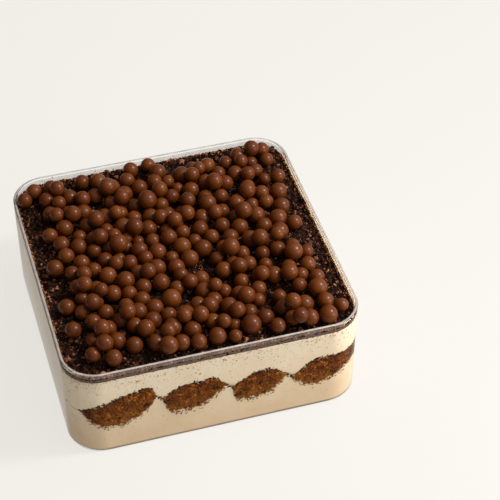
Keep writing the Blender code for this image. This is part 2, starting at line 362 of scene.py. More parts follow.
def wall_skin(name, field, s_range, z_range, cell, reach, thickness):
    """A thin skin on the wall's inside wherever field(s, z) is over 0, drawn along uneven edges.

    The first value of field is in metres from the edge, and its second goes into the attribute rise.
    """
    columns = round((s_range[1] - s_range[0]) / cell)
    rows = round((z_range[1] - z_range[0]) / cell)
    s_steps = [s_range[0] + (s_range[1] - s_range[0]) * i / columns for i in range(columns + 1)]
    z_steps = [z_range[0] + (z_range[1] - z_range[0]) * j / rows for j in range(rows + 1)]
    found = [[field(s, z) for z in z_steps] for s in s_steps]
    values = np.array([[value for value, _ in line] for line in found])
    kept = (values[:-1, :-1] + values[1:, :-1] + values[:-1, 1:] + values[1:, 1:]) > 0
    for _ in range(2):  # cells that touch at one corner only are joined
        joint = kept[:-1, :-1] & kept[1:, 1:] & ~kept[1:, :-1] & ~kept[:-1, 1:]
        kept[1:, :-1] |= joint
        joint = kept[1:, :-1] & kept[:-1, 1:] & ~kept[:-1, :-1] & ~kept[1:, 1:]
        kept[:-1, :-1] |= joint
    slope_s, slope_z = np.gradient(values, cell)
    steep = slope_s**2 + slope_z**2 + 0.05
    near_edge = np.zeros(values.shape, int)
    for i, j in ((0, 0), (1, 0), (0, 1), (1, 1)):
        near_edge[i : i + columns, j : j + rows] += kept
    pull = np.where((near_edge > 0) & (near_edge < 4), values / steep, 0.0)
    move_s = np.clip(-pull * slope_s, -cell * 0.45, cell * 0.45)
    move_z = np.clip(-pull * slope_z, -cell * 0.45, cell * 0.45)
    index, points, rises, faces = {}, [], [], []

    def corner(i, j):
        if (i, j) not in index:
            index[i, j] = len(points)
            points.append(wall_at(s_steps[i] + move_s[i, j], z_steps[j] + move_z[i, j], reach)[0])
            rises.append(found[i][j][1])
        return index[i, j]

    for i, j in zip(*np.nonzero(kept)):
        faces.append((corner(i, j), corner(i + 1, j), corner(i + 1, j + 1), corner(i, j + 1)))
    mesh = mesh_from(name, points, faces)
    add_attribute(mesh, "rise", rises)
    bm = bmesh.new()
    bm.from_mesh(mesh)
    bmesh.ops.solidify(bm, geom=bm.faces, thickness=thickness)
    bmesh.ops.recalc_face_normals(bm, faces=bm.faces)
    bm.to_mesh(mesh)
    bm.free()
    return mesh


# ---- materials


class Finish:
    """A node material in the making, with short ways to add the nodes that the finishes share."""

    def __init__(self, name, roughness=0.5, specular=0.5):
        self.material = bpy.data.materials.new(name)
        self.material.use_nodes = True
        self.nodes = self.material.node_tree.nodes
        self.links = self.material.node_tree.links
        self.shader = self.nodes["Principled BSDF"]
        self.set("Roughness", roughness)
        self.set("Specular IOR Level", specular)
        self.place = self.nodes.new("ShaderNodeTexCoord").outputs["Object"]

    def set(self, socket, value):
        """Sets a socket of the shader to a constant."""
        self.shader.inputs[socket].default_value = value

    def feed(self, socket, source):
        """Links a node's output to a socket of the shader."""
        self.links.new(source, self.shader.inputs[socket])

    def fill(self, socket, value):
        """Links another node's output to this socket, or sets a number or a colour."""
        if isinstance(value, bpy.types.NodeSocket):
            self.links.new(value, socket)
        elif isinstance(value, tuple):
            socket.default_value = (*value, 1.0)
        else:
            socket.default_value = value

    def noise(self, size, detail=2.0, roughness=0.5, stretch=None):
        """Soft noise whose lumps are about size across."""
        node = self.nodes.new("ShaderNodeTexNoise")
        node.inputs["Scale"].default_value = 1 / size
        node.inputs["Detail"].default_value = detail
        node.inputs["Roughness"].default_value = roughness
        place = self.place
        if stretch:
            mapping = self.nodes.new("ShaderNodeMapping")
            mapping.inputs["Scale"].default_value = stretch
            self.links.new(place, mapping.inputs["Vector"])
            place = mapping.outputs["Vector"]
        self.links.new(place, node.inputs["Vector"])
        return node.outputs["Fac"]

    def cells(self, size):
        """Distance from the nearest of points strewn about size apart."""
        node = self.nodes.new("ShaderNodeTexVoronoi")
        node.inputs["Scale"].default_value = 1 / size
        self.links.new(self.place, node.inputs["Vector"])
        return node.outputs["Distance"]

    def attribute(self, name):
        """The number that add_attribute gave the points."""
        node = self.nodes.new("ShaderNodeAttribute")
        node.attribute_name = name
        return node.outputs["Fac"]

    def height(self):
        """The height over the base."""
        node = self.nodes.new("ShaderNodeSeparateXYZ")
        self.links.new(self.place, node.inputs["Vector"])
        return node.outputs["Z"]

    def range(self, source, low, high, new_low=0.0, new_high=1.0):
        """Maps the stretch from low to high onto the one from new_low to new_high."""
        node = self.nodes.new("ShaderNodeMapRange")
        self.links.new(source, node.inputs["Value"])
        names = ("From Min", "From Max", "To Min", "To Max")
        for name, value in zip(names, (low, high, new_low, new_high)):
            node.inputs[name].default_value = value
        return node.outputs["Result"]

    def ramp(self, source, stops):
        """A colour ramp: each stop is its place from 0 to 1 and its linear colour."""
        node = self.nodes.new("ShaderNodeValToRGB")
        elements = node.color_ramp.elements
        while len(elements) < len(stops):
            elements.new(0.5)
        for element, (position, color) in zip(elements, stops):
            element.position = position
            element.color = (*color, 1.0)
        self.links.new(source, node.inputs["Fac"])
        return node.outputs["Color"]

    def mix(self, share, first, second):
        """Mixes two colours, each a linear colour or another node's output."""
        node = self.nodes.new("ShaderNodeMix")
        node.data_type = "RGBA"
        self.fill(node.inputs["Factor"], share)
        self.fill(node.inputs[6], first)
        self.fill(node.inputs[7], second)
        return node.outputs[2]

    def math(self, operation, first, second):
        """Joins two numbers by an operation of the Math node."""
        node = self.nodes.new("ShaderNodeMath")
        node.operation = operation
        self.fill(node.inputs[0], first)
        self.fill(node.inputs[1], second)
        return node.outputs[0]

    def bump(self, source, distance, strength):
        """Roughens the surface by this much where source goes from 0 to 1."""
        node = self.nodes.new("ShaderNodeBump")
        node.inputs["Distance"].default_value = distance
        node.inputs["Strength"].default_value = strength
        self.links.new(source, node.inputs["Height"])
        self.feed("Normal", node.outputs["Normal"])


def clear_plastic():
    """Clear plastic. Rays from lamps and from matt surfaces pass it unbent, so the food stays lit."""
    finish = Finish("clear_plastic", roughness=0.04)
    finish.set("Base Color", (1.0, 1.0, 1.0, 1.0))
    finish.set("Transmission Weight", 1.0)
    finish.set("IOR", 1.15)
    ripple = finish.noise(9 * MM, detail=1.0, stretch=(1.0, 1.0, 0.12))
    finish.bump(ripple, 0.25 * MM, 0.5)
    clear = finish.nodes.new("ShaderNodeBsdfTransparent")
    clear.inputs["Color"].default_value = (0.96, 0.96, 0.96, 1.0)
    path = finish.nodes.new("ShaderNodeLightPath")
    passes = finish.math("MAXIMUM", path.outputs["Is Shadow Ray"], path.outputs["Is Diffuse Ray"])
    blend = finish.nodes.new("ShaderNodeMixShader")
    finish.links.new(passes, blend.inputs["Fac"])
    finish.links.new(finish.shader.outputs["BSDF"], blend.inputs[1])
    finish.links.new(clear.outputs["BSDF"], blend.inputs[2])
    output = finish.nodes["Material Output"]
    finish.links.new(blend.outputs["Shader"], output.inputs["Surface"])
    return finish.material


def mascarpone_cream():
    """Smooth cream, darker and warmer towards the base as painted shade, with a painted shadow along
    its very base, soft clouds and a fine dust of cocoa.
    """
    finish = Finish("mascarpone_cream", roughness=0.5, specular=0.25)
    # painted shade: the ramp makes the cream darker and warmer the lower it sits
    depth = finish.range(finish.height(), 4 * MM, 38 * MM)
    clouds = finish.range(finish.noise(16 * MM, detail=2.0), 0.35, 0.65, -0.14, 0.14)
    shaded_cream = finish.ramp(
        finish.math("ADD", depth, clouds),
        ((0.0, (0.750, 0.550, 0.342)), (0.5, (0.825, 0.652, 0.440)), (1.0, (0.910, 0.765, 0.562))),
    )
    # painted shadow: near-black brown along the very base of the cream
    base = finish.range(finish.height(), 1.1 * MM, 2.0 * MM, 0.95, 0.0)
    shaded_cream = finish.mix(base, shaded_cream, (0.120, 0.055, 0.018))
    streaks = finish.noise(2.4 * MM, detail=3.0, stretch=(1.0, 1.0, 0.35))
    streaks = finish.range(streaks, 0.40, 0.75)
    soft = finish.mix(finish.range(streaks, 0.0, 1.0, 0.0, 0.16), shaded_cream, (0.62, 0.44, 0.26))
    dust = finish.range(finish.cells(1.5 * MM), 0.10, 0.16, 0.55, 0.0)
    finish.feed("Base Color", finish.mix(dust, soft, (0.42, 0.22, 0.09)))
    finish.feed("Roughness", finish.range(streaks, 0.0, 1.0, 0.42, 0.58))
    finish.set("Subsurface Weight", 0.15)
    finish.set("Subsurface Scale", 2 * MM)
    finish.bump(finish.noise(3 * MM, detail=2.0), 0.06 * MM, 0.5)
    return finish.material


def soaked_sponge():
    """Ladyfinger soaked in coffee: brown crumb, amber low down, with dark cocoa along its top."""
    finish = Finish("soaked_sponge", roughness=0.75, specular=0.05)
    lumps = finish.noise(1.9 * MM, detail=4.0, roughness=0.7)
    brown = finish.ramp(
        lumps,
        (
            (0.30, (0.024, 0.006, 0.0005)),
            (0.45, (0.100, 0.022, 0.0005)),
            (0.57, (0.200, 0.050, 0.001)),
            (0.71, (0.340, 0.113, 0.008)),
        ),
    )
    rise = finish.attribute("rise")
    rags = finish.range(finish.noise(1.1 * MM, detail=3.0), 0.3, 0.7, -0.22, 0.22)
    uneven = finish.math("ADD", rise, rags)
    amber = finish.range(uneven, 0.45, 0.05, 0.0, 0.65)
    low = finish.mix(amber, brown, (0.260, 0.100, 0.012))
    cocoa = finish.range(uneven, 0.86, 1.02, 0.0, 0.9)
    topped = finish.mix(cocoa, low, (0.030, 0.014, 0.008))
    pores = finish.range(finish.cells(1.3 * MM), 0.16, 0.22, 0.55, 0.0)
    spots = finish.range(finish.noise(0.9 * MM, detail=1.0), 0.60, 0.66, 0.0, 0.7)
    light = finish.math("MULTIPLY", pores, spots)
    finish.feed("Base Color", finish.mix(light, topped, (0.46, 0.24, 0.07)))
    finish.bump(lumps, 0.35 * MM, 0.6)
    return finish.material


def crumb_finish(name, stops, size, by_tone=False):
    """Cocoa crumb: a colour ramp over the bump's grainy noise, or over each grain's tone shifted by it,
    so it has painted shade in the hollows and a painted highlight on the tops.
    """
    finish = Finish(name, roughness=0.7, specular=0.05)
    fine = finish.noise(size, detail=4.0, roughness=0.7)
    source = fine
    if by_tone:
        shade = finish.range(fine, 0.3, 0.7, -0.12, 0.12)
        source = finish.math("ADD", finish.attribute("tone"), shade)
    finish.feed("Base Color", finish.ramp(source, stops))
    finish.feed("Roughness", finish.range(fine, 0.3, 0.7, 0.55, 0.85))
    finish.bump(fine, 0.2 * MM, 0.6)
    return finish.material


def milk_chocolate():
    """Satin chocolate: each pearl has its own tone, and its gloss is a little uneven."""
    finish = Finish("milk_chocolate", roughness=0.30, specular=0.22)
    patches = finish.range(finish.noise(2.5 * MM, detail=2.0), 0.3, 0.7, -0.15, 0.15)
    tone = finish.math("ADD", finish.attribute("tone"), patches)
    browns = (
        (0.0, (0.084, 0.018, 0.002)),
        (0.5, (0.114, 0.026, 0.003)),
        (1.0, (0.150, 0.038, 0.005)),
    )
    finish.feed("Base Color", finish.ramp(tone, browns))
    finish.feed("Roughness", finish.range(finish.noise(1.2 * MM, detail=3.0), 0.3, 0.7, 0.25, 0.35))
    finish.set("Subsurface Weight", 0.05)
    finish.set("Subsurface Scale", 1 * MM)
    finish.bump(finish.noise(1.6 * MM, detail=2.0), 0.05 * MM, 0.4)
    return finish.material


# ---- the box


def make_box():
    """The moulded box: a fine shell with round corners, a round foot and a softened rim."""
    bm = bmesh.new()
    bmesh.ops.create_cube(bm, size=1.0)
    for vert in bm.verts:
        z = 0.0 if vert.co.z < 0 else HEIGHT
        half = SIDE / 2 - inset_at(z)
        vert.co = (math.copysign(half, vert.co.x), math.copysign(half, vert.co.y), z)
    upright = [edge for edge in bm.edges if abs(edge.verts[0].co.z - edge.verts[1].co.z) > HEIGHT / 2]
    bmesh.ops.bevel(bm, geom=upright, offset=CORNER_RADIUS, segments=28, profile=0.5, affect="EDGES")
    base = [edge for edge in bm.edges if max(vert.co.z for vert in edge.verts) < GAP]
    bmesh.ops.bevel(bm, geom=base, offset=FOOT_RADIUS, segments=8, profile=0.5, affect="EDGES")
    lid = [face for face in bm.faces if face.calc_center_median().z > HEIGHT - GAP]
    bmesh.ops.delete(bm, geom=lid, context="FACES")
    mesh = bpy.data.meshes.new("box_shell")
    bm.to_mesh(mesh)
    bm.free()
    box = new_object("box_shell", mesh, clear_plastic())
    shell = box.modifiers.new("wall", "SOLIDIFY")
    shell.thickness = WALL
    shell.offset = -1.0
    shell.use_even_offset = True
    rim = box.modifiers.new("rim", "BEVEL")
    rim.width = 0.3 * MM
    rim.segments = 3
    rim.limit_method = "ANGLE"
    rim.angle_limit = math.radians(50)
    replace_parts(box, "clear_box")


# ---- cream and ladyfingers


def along_front(x):
    """The way along the front wall that lies at x, round the corners too."""
    bend = min(max(abs(x) - STRAIGHT, 0.0) / (CORNER_RADIUS - WALL), 1.0)
    return math.copysign(min(abs(x), STRAIGHT) + CORNER_RADIUS * math.asin(bend), x)


def outline(heights, share):
    """A smooth line through heights that stand at even shares of the way."""
    at = min(max(share, 0.0), 1.0) * (len(heights) - 1)
    step = min(int(at), len(heights) - 2)
    t = at - step
    before = heights[max(step - 1, 0)]
    first, second = heights[step], heights[step + 1]
    after = heights[min(step + 2, len(heights) - 1)]
    rise_in, rise_out = (second - before) / 2, (after - first) / 2
    return (
        first * (2 * t**3 - 3 * t**2 + 1)
        + rise_in * (t**3 - 2 * t**2 + t)
        + second * (3 * t**2 - 2 * t**3)
        + rise_out * (t**3 - t**2)
    )


def finger_span(finger, s):
    """The ladyfinger's lowest and highest height at s, or None beside it."""
    left, right = finger["ends"]
    share = (s / MM - left) / (right - left)
    if not 0 < share < 1:
        return None
    top, bottom = outline(finger["top"], share), outline(finger["bottom"], share)
    middle = finger["tips"][0] + (finger["tips"][1] - finger["tips"][0]) * share
    full = 1 - abs(2 * share - 1) ** END_POWER
    return (middle + (bottom - middle) * full) * MM, (middle + (top - middle) * full) * MM


def seam_height(s):
    """Height of the line where the creams meet, which runs through the ladyfingers' ends."""
    knots = [(-SIDE, SEAM_EDGE * MM)]
    for finger in FINGERS:
        knots += [(end * MM, tip * MM) for end, tip in zip(finger["ends"], finger["tips"])]
    knots.append((SIDE, knots[-1][1]))
    for (s0, z0), (s1, z1) in zip(knots, knots[1:]):
        if s0 <= s <= s1:
            return z0 + (z1 - z0) * (s - s0) / (s1 - s0)
    return SEAM_EDGE * MM


def span_at(s, inside):
    """Span of the ladyfinger at s, drawn in by inside, or the seam's height twice."""
    seam = seam_height(s)
    for finger in FINGERS:
        span = finger_span(finger, s)
        if span:
            return min(span[0] + inside, seam), max(span[1] - inside, seam)
    return seam, seam


def make_creams(cream):
    """The two layers of cream, which meet between the ladyfingers and close over their insides."""
    lower = layer_mesh(
        "lower_cream", CREAM_CELLS,
        lambda x, y: FLOOR - CREAM_SINK,
        lambda x, y: span_at(along_front(x), CREAM_OVERLAP)[0],
        24, CREAM_REACH, CREAM_FOOT, flat_below=True,
    )
    upper = layer_mesh(
        "upper_cream", CREAM_CELLS,
        lambda x, y: span_at(along_front(x), CREAM_OVERLAP)[1] + 0.01 * MM,
        lambda x, y: CREAM_TOP,
        10, CREAM_REACH,
    )
    for mesh, node in ((lower, "cream_lower"), (upper, "cream_upper")):
        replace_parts(new_object(mesh.name, mesh, cream), node)


def finger_core(number, finger, sponge):
    """The ladyfinger's inside, which runs from the front wall to the back wall."""
    half = SIDE / 2 - WALL - DRAFT / 2
    left = finger["ends"][0] * MM
    right = min(finger["ends"][1] * MM, along_front(half))
    corner = CORNER_RADIUS - WALL
    loops = []
    for i in range(1, CORE_STEPS):
        s = left + (right - left) * i / CORE_STEPS
        low, high = span_at(s, CORE_INSET)
        bend = max(abs(s) - STRAIGHT, 0.0) / CORNER_RADIUS
        x = math.copysign(min(abs(s), STRAIGHT) + corner * math.sin(bend), s)
        depth = half - corner + corner * math.cos(bend)
        loops.append([(x, -depth, low), (x, depth, low), (x, depth, high), (x, -depth, high)])
    points = [point for loop in loops for point in loop]
    faces = [(3, 2, 1, 0)]
    for i in range(len(loops) - 1):
        for j in range(4):
            after = (j + 1) % 4
            faces.append((4 * i + j, 4 * i + after, 4 * i + 4 + after, 4 * i + 4 + j))
    last = 4 * (len(loops) - 1)
    faces.append((last, last + 1, last + 2, last + 3))
    mesh = mesh_from(f"finger_{number}_core", points, faces)
    add_attribute(mesh, "rise", [0.5] * len(points))
    core = new_object(mesh.name, mesh, sponge, smooth=False)
    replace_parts(core, f"ladyfinger_{number}")


def ragged(s, z, seed, sizes):
    """Uneven offset of an edge: noise of several sizes, each given as its size and its height."""
    return sum(
        height * noise.noise(Vector((s / size, z / size, seed + 7.3 * number)))
        for number, (size, height) in enumerate(sizes)
    )


FINGER_RAGS = ((3.4 * MM, 1.6 * MM), (1.5 * MM, 2.0 * MM), (0.75 * MM, 1.9 * MM))


def finger_field(finger, mirrored, seed):
    """Distance inside a ladyfinger's torn outline, and the share of the way up through it."""

    def field(s, z):
        at = 2 * SIDE_RUN - s if mirrored else s
        span = finger_span(finger, at)
        if not span:
            return -1.0, 0.5
        low, high = span
        left, right = finger["ends"]
        inside = min(z - low, high - z, at - left * MM, right * MM - at)
        rise = (z - low) / max(high - low, 0.1 * MM)
        rags = ragged(s, z, seed, FINGER_RAGS)
        return inside + rags * (1.0 if rise < 0.5 else 0.55), rise

    return field


def streak_field(finger, seed):
    """The last ladyfinger's side along the right wall."""

    def field(s, z):
        low, high = (outline(finger[key], 1.0) * MM for key in ("bottom", "top"))
        inside = min(z - low, high - z) + 0.4 * MM * math.sin(s / (9 * MM))
        return inside + ragged(s, z, seed, FINGER_RAGS) * 0.8, (z - low) / (high - low)

    return field


def make_ladyfingers(sponge):
    """The ladyfingers: insides, skins at the front and the back, and the last one's side."""
    back = 2 * SIDE_RUN  # s in the middle of the back wall
    for number, finger in enumerate(FINGERS, start=1):
        finger_core(number, finger, sponge)
        left, right = (end * MM for end in finger["ends"])
        left, right = left - SKIN_MARGIN, min(right, SIDE_RUN / 2)
        low, high = min(finger["bottom"]) * MM, max(finger["top"]) * MM
        patches = [
            ("front", finger_field(finger, False, 11.0 * number), (left, right)),
            ("back", finger_field(finger, True, 90 + 11.0 * number), (back - right, back - left)),
        ]
        if finger is FINGERS[-1]:
            side = (SIDE_RUN / 2, SIDE_RUN * 3 / 2)
            patches.append(("side", streak_field(finger, 60.0), side))
        for place, field, s_range in patches:
            z_range = (low - SKIN_MARGIN, high + SKIN_MARGIN)
            name = f"finger_{number}_{place}"
            mesh = wall_skin(name, field, s_range, z_range, SKIN_CELL, SKIN_REACH, 0.4 * MM)
            new_object(name, mesh, sponge)


# ---- bits on the wall


def wall_bits(draw, count, place, size, tones, thick=BIT_THICK, reach=BIT_REACH):
    """Flat bits on the wall: place(draw) gives s and z, or None to leave one out."""
    grains = []
    for _ in range(count):
        spot = place(draw)
        if not spot:
            continue
        s, z = spot
        wide = draw.uniform(*size) / 2
        high = wide * draw.uniform(0.5, 1.0)
        axes = wall_axes(s, z, wide, high, thick, draw.uniform(0, math.pi))
        grains.append((wall_at(s, z, reach - thick)[0], axes, draw.uniform(*tones)))
    return grains


def near_finger(s):
    """The ladyfinger's span at s on the front or the back wall, or None."""
    at = s if s < SIDE_RUN else 2 * SIDE_RUN - s
    for finger in FINGERS:
        span = finger_span(finger, at)
        if span:
            return span
    return None


def pick_finger(draw):
    """A place along the front or the back wall, and the ladyfinger's span there, or None."""
    s = draw.uniform(-SIDE_RUN / 2, 2.5 * SIDE_RUN)
    return s, near_finger(s)


def make_cream_specks():
    """Cocoa and coffee specks in the cream at the walls, thickest under the crumb."""
    draw = random.Random(21)

    def under_crumb(draw):
        s = draw.uniform(0, 4 * SIDE_RUN)
        return s, CREAM_TOP - 0.2 * MM - min(draw.expovariate(1 / (3.2 * MM)), 16 * MM)

    def anywhere(draw):
        s = draw.uniform(-SIDE_RUN / 2, 3.5 * SIDE_RUN)
        return s, draw.uniform(6 * MM, CREAM_TOP - 1 * MM)

    grains = wall_bits(draw, SPECKS_UNDER_CRUMB, under_crumb, (0.20 * MM, 0.50 * MM), (0.2, 0.8))
    grains += wall_bits(draw, CLOTS_UNDER_CRUMB, under_crumb, (0.5 * MM, 1.1 * MM), (0.5, 1.0))
    grains += wall_bits(draw, SPECKS_ANYWHERE, anywhere, (0.18 * MM, 0.5 * MM), (0.3, 0.9))
    grains += wall_bits(draw, CLOTS_ANYWHERE, anywhere, (0.6 * MM, 1.2 * MM), (0.75, 1.0))
    stops = ((0.0, (0.16, 0.060, 0.018)), (0.45, (0.42, 0.17, 0.050)), (1.0, (0.64, 0.38, 0.14)))
    add_grains("cream_specks", grains, 0.2, 22, stops)


def make_finger_crumbs():
    """Loose amber crumbs under the ladyfingers' lower edges."""
    draw = random.Random(31)

    def below(draw):
        s, span = pick_finger(draw)
        return (s, span[0] - draw.uniform(-0.8, 3.2) * draw.random() * MM) if span else None

    grains = wall_bits(draw, AMBER_CRUMBS, below, (0.25 * MM, 1.0 * MM), (0.1, 0.9))
    stops = ((0.0, (0.10, 0.032, 0.005)), (0.5, (0.26, 0.10, 0.014)), (1.0, (0.48, 0.24, 0.07)))
    add_grains("finger_crumbs", grains, 0.25, 32, stops)


def make_sponge_bits():
    """The ladyfingers' coarse crumb where it presses on the wall, from dark to amber."""
    draw = random.Random(35)

    def within(draw):
        s, span = pick_finger(draw)
        if not span:
            return None
        low, high = span
        return s, low + (high - low) * draw.uniform(0.02, 0.97)

    size, tones = (0.5 * MM, 1.9 * MM), (-0.22, 0.22)
    bits = wall_bits(draw, SPONGE_BITS, within, size, tones, SPONGE_BIT_THICK, SPONGE_BIT_REACH)
    toned = []
    for centre, axes, tone in bits:
        clot = noise.noise(centre / (3.0 * MM))
        toned.append((centre, axes, min(max(0.55 + 0.75 * clot + tone, 0.0), 1.0)))
    stops = (
        (0.0, (0.024, 0.006, 0.0005)), (0.35, (0.095, 0.021, 0.0005)),
        (0.7, (0.200, 0.050, 0.001)), (1.0, (0.360, 0.126, 0.012)),
    )
    add_grains("sponge_bits", toned, 0.3, 36, stops)


def make_cocoa_flecks():
    """Near-black cocoa along the ladyfingers' upper edges and in the seams between their ends."""
    draw = random.Random(41)

    def above(draw):
        s, span = pick_finger(draw)
        return (s, span[1] + draw.gauss(-0.1, 0.45) * MM) if span else None

    def at_tips(draw):
        finger = draw.choice(FINGERS)
        left, right = (end * MM for end in finger["ends"])
        away = draw.expovariate(1 / (1.6 * MM)) - 0.8 * MM
        at = left - away if draw.random() < 0.5 or finger is FINGERS[-1] else right + away
        z = seam_height(at) + draw.gauss(0.0, 0.5) * MM
        return (at if draw.random() < 0.5 else 2 * SIDE_RUN - at), z

    grains = wall_bits(draw, COCOA_FLECKS, above, (0.25 * MM, 1.0 * MM), (0.0, 0.5))
    grains += wall_bits(draw, TIP_FLECKS, at_tips, (0.3 * MM, 1.2 * MM), (0.0, 0.6))
    stops = ((0.0, (0.012, 0.006, 0.004)), (0.5, (0.045, 0.020, 0.010)), (1.0, (0.12, 0.05, 0.02)))
    add_grains("cocoa_flecks", grains, 0.25, 42, stops)


# ---- crumb


def crumb_height(x, y):
    """Top of the crumb bed: soft waves with clotted lumps and a grainy surface."""
    wave = math.sin(310 * x + 140 * y) + math.sin(260 * y - 190 * x + 1.3)
    wave += math.sin(530 * x + 2.1) * 0.6
    place = Vector((x, y, 0.0))
    clots = noise.noise(place / (3.2 * MM))
    grains = noise.voronoi(place / (1.5 * MM))[0][0]
    dust = noise.noise(place / (0.8 * MM))
    rise = 0.10 * wave / 2.6 + 0.75 * clots + 1.2 * (0.42 - grains) + 0.35 * dust
    return CRUMB_TOP + rise * MM


# The crumb bed's ramp: the crumb's own dark brown, near black in the bump's hollows as painted shade
# and reddish on its tops as painted highlight
DARK_CRUMB_SHADE_HIGHLIGHT = (
    (0.30, (0.002, 0.001, 0.0008)),
    (0.48, (0.008, 0.0035, 0.002)),
    (0.60, (0.048, 0.017, 0.009)),
    (0.74, (0.200, 0.072, 0.034)),
)
# The crumb's rim on the wall: its dark brown lifted to grey-brown, rusty and amber, painted light that
# comes in through the clear wall
EDGE_CRUMB_WALL_LIT = (
    (0.30, (0.120, 0.086, 0.068)),
    (0.52, (0.160, 0.110, 0.084)),
    (0.62, (0.260, 0.105, 0.045)),
    (0.74, (0.460, 0.200, 0.070)),
)


def make_crumb_bed():
    """The layer of crumb, clotted on top and flush with the walls."""
    mesh = layer_mesh(
        "crumb_bed", CRUMB_CELLS,
        lambda x, y: CREAM_TOP - 0.1 * MM,
        crumb_height,
        2, CREAM_REACH, flat_below=True,
    )
    material = crumb_finish("crumb_bed", DARK_CRUMB_SHADE_HIGHLIGHT, 1.6 * MM)
    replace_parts(new_object("crumb_bed", mesh, material), "cocoa_crumb")


def edge_field(s, z):
    """The crumb's uneven rim on the wall, and the share of the way up through it."""
    low = CREAM_TOP + 0.15 * MM
    high = CRUMB_TOP - 0.20 * MM
    rags = ragged(s, z, 5.0, ((2.2 * MM, 0.5 * MM), (0.7 * MM, 0.6 * MM)))
    return min(z - low, high - z) + rags, (z - low) / (high - low)


def make_crumb_edge():
    """The crumb pressed on the wall all round, lifted to grey-brown, rusty and amber: painted light
    that comes in through the clear wall.
    """
    s_range = (0.0, 4 * SIDE_RUN)
    z_range = (CREAM_TOP - 1.0 * MM, CRUMB_TOP + 1.2 * MM)
    mesh = wall_skin("crumb_edge", edge_field, s_range, z_range, SKIN_CELL, SKIN_REACH, 0.5 * MM)
    new_object("crumb_edge", mesh, crumb_finish("crumb_edge", EDGE_CRUMB_WALL_LIT, 1.1 * MM))


def covered(x, y, pearls):
    """True where a pearl that lies on the crumb hides the crumb."""
    return any(
        math.hypot(pearl_x - x, pearl_y - y) < 0.55 * radius
        for pearl_x, pearl_y, pearl_z, radius in pearls
        if pearl_z < CRUMB_TOP + 1.5 * radius
    )


def make_crumb_grains(pearls):
    """Loose grains on the crumb bed, from dust to small clots."""
    draw = random.Random(51)
    grains = []
    half = SIDE / 2 - WALL - 0.4 * MM
    while len(grains) < LOOSE_GRAINS:
        x, y = keep_in_walls(draw.uniform(-half, half), draw.uniform(-half, half), 0.4 * MM)
        size = min(0.40 + draw.expovariate(1 / 0.36), 2.3) * MM / 2
        if covered(x, y, pearls):
            continue
        sizes = [size * draw.uniform(0.6, 1.25) for _ in range(3)]
        z = crumb_height(x, y) + size * draw.uniform(0.2, 0.8)
        grains.append(((x, y, z), turned_axes(draw, sizes), draw.random() ** 1.5))
    stops = (
        (0.0, (0.004, 0.0015, 0.001)), (0.35, (0.026, 0.009, 0.004)),
        (0.65, (0.145, 0.048, 0.025)), (1.0, (0.400, 0.160, 0.085)),
    )
    add_grains("crumb_grains", grains, 0.45, 52, stops, 0.6 * MM, smooth=False)


def make_fringe():
    """Crumbs along the wall where the crumb meets it, coloured rusty and amber: painted light that
    comes in through the clear wall.
    """
    draw = random.Random(61)
    grains = []
    for _ in range(FRINGE_GRAINS):
        s = draw.uniform(0, 4 * SIDE_RUN)
        size = draw.uniform(0.30, 1.0) * MM / 2
        z = CRUMB_TOP + draw.gauss(-0.15, 0.28) * MM
        inside = draw.uniform(0.1, 0.8) * MM
        sizes = [size * draw.uniform(0.6, 1.3) for _ in range(3)]
        grains.append((wall_at(s, z, -inside)[0], turned_axes(draw, sizes), draw.random()))
    # painted light: the crumbs' amber and rusty tones stand in for light that comes through the wall
    stops = (
        (0.0, (0.020, 0.007, 0.003)), (0.35, (0.140, 0.042, 0.014)),
        (0.7, (0.360, 0.125, 0.036)), (1.0, (0.560, 0.260, 0.080)),
    )
    add_grains("crumb_fringe", grains, 0.3, 62, stops)


def make_wall_dust():
    """Fine cocoa dust that sticks to the free wall over the crumb."""
    draw = random.Random(71)
    grains = []
    for _ in range(DUST_GRAINS):
        s = draw.uniform(0, 4 * SIDE_RUN)
        z = CRUMB_TOP + 0.3 * MM + abs(draw.gauss(0, 1.4)) * MM
        if z > HEIGHT - 0.4 * MM:
            continue
        wide = draw.uniform(0.08, 0.24) * MM / 2 if draw.random() < 0.95 else 0.3 * MM
        high = wide * draw.uniform(0.6, 1.0)
        axes = wall_axes(s, z, wide, high, wide * 0.6, draw.uniform(0, math.pi))
        grains.append((wall_at(s, z, -wide * 0.4)[0], axes, draw.random()))
    stops = ((0.0, (0.06, 0.02, 0.01)), (0.5, (0.20, 0.07, 0.03)), (1.0, (0.36, 0.16, 0.07)))
    add_grains("wall_dust", grains, 0.2, 72, stops, 0.4 * MM)


def make_painted_wall_sheen():
    """A thin greyish film on the free wall, in upright streaks: painted reflection, the plastic's sheen
    over the dark crumb.
    """
    low, high = CRUMB_TOP - 0.5 * MM, HEIGHT - 0.5 * MM
    near, far = 0.01 * MM, FILM
    mesh = wall_ring("wall_sheen", ((low, near), (high, near), (high, far), (low, far)))
    finish = Finish("wall_sheen", roughness=0.5, specular=0.2)
    streaks = finish.noise(3.5 * MM, detail=3.0, roughness=0.6, stretch=(1.0, 1.0, 0.10))
    # painted reflection of the plastic's sheen
    greys = ((0.36, (0.30, 0.23, 0.19)), (0.62, (0.56, 0.46, 0.40)))
    finish.feed("Base Color", finish.ramp(streaks, greys))
    finish.set("Alpha", SHEEN_ALPHA)
    new_object("wall_sheen", mesh, finish.material)


